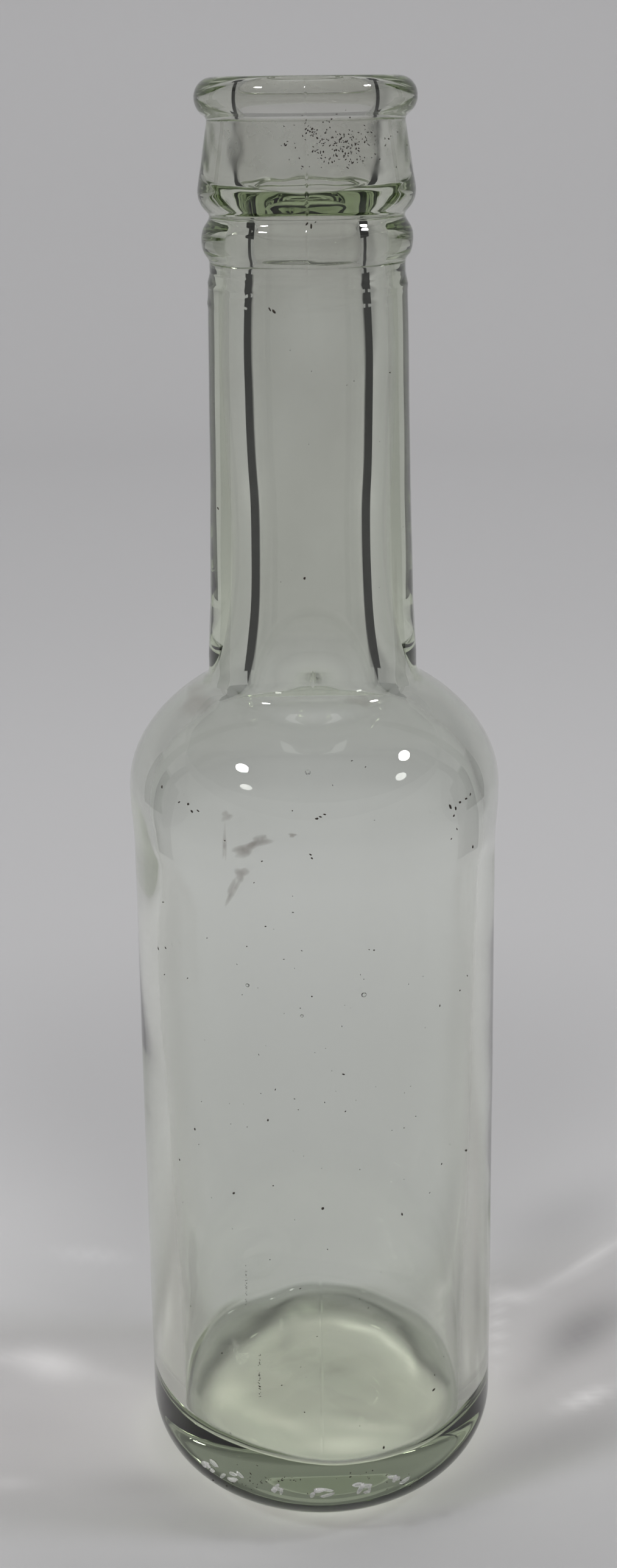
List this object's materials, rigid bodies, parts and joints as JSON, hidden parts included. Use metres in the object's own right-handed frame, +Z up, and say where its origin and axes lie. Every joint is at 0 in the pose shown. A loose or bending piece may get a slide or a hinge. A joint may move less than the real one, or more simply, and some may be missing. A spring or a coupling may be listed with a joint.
{
  "type": "worcestershire sauce bottle",
  "caption": "Empty one-piece glass sauce bottle: heavy rounded foot, round body, domed shoulder, long thick neck and a stepped mouth.",
  "frame": {"origin": "middle of the foot, on the surface the bottle stands on", "axes": "+Z up along the bottle's axis, the pictured side faces -Y"},
  "size_m": [0.0576, 0.0576, 0.2226],
  "materials": {
    "glass": "clear pale green, slightly uneven, glossy"
  },
  "bodies": {
    "root": {"bottle": "glass"}
  },
  "joints": []
}
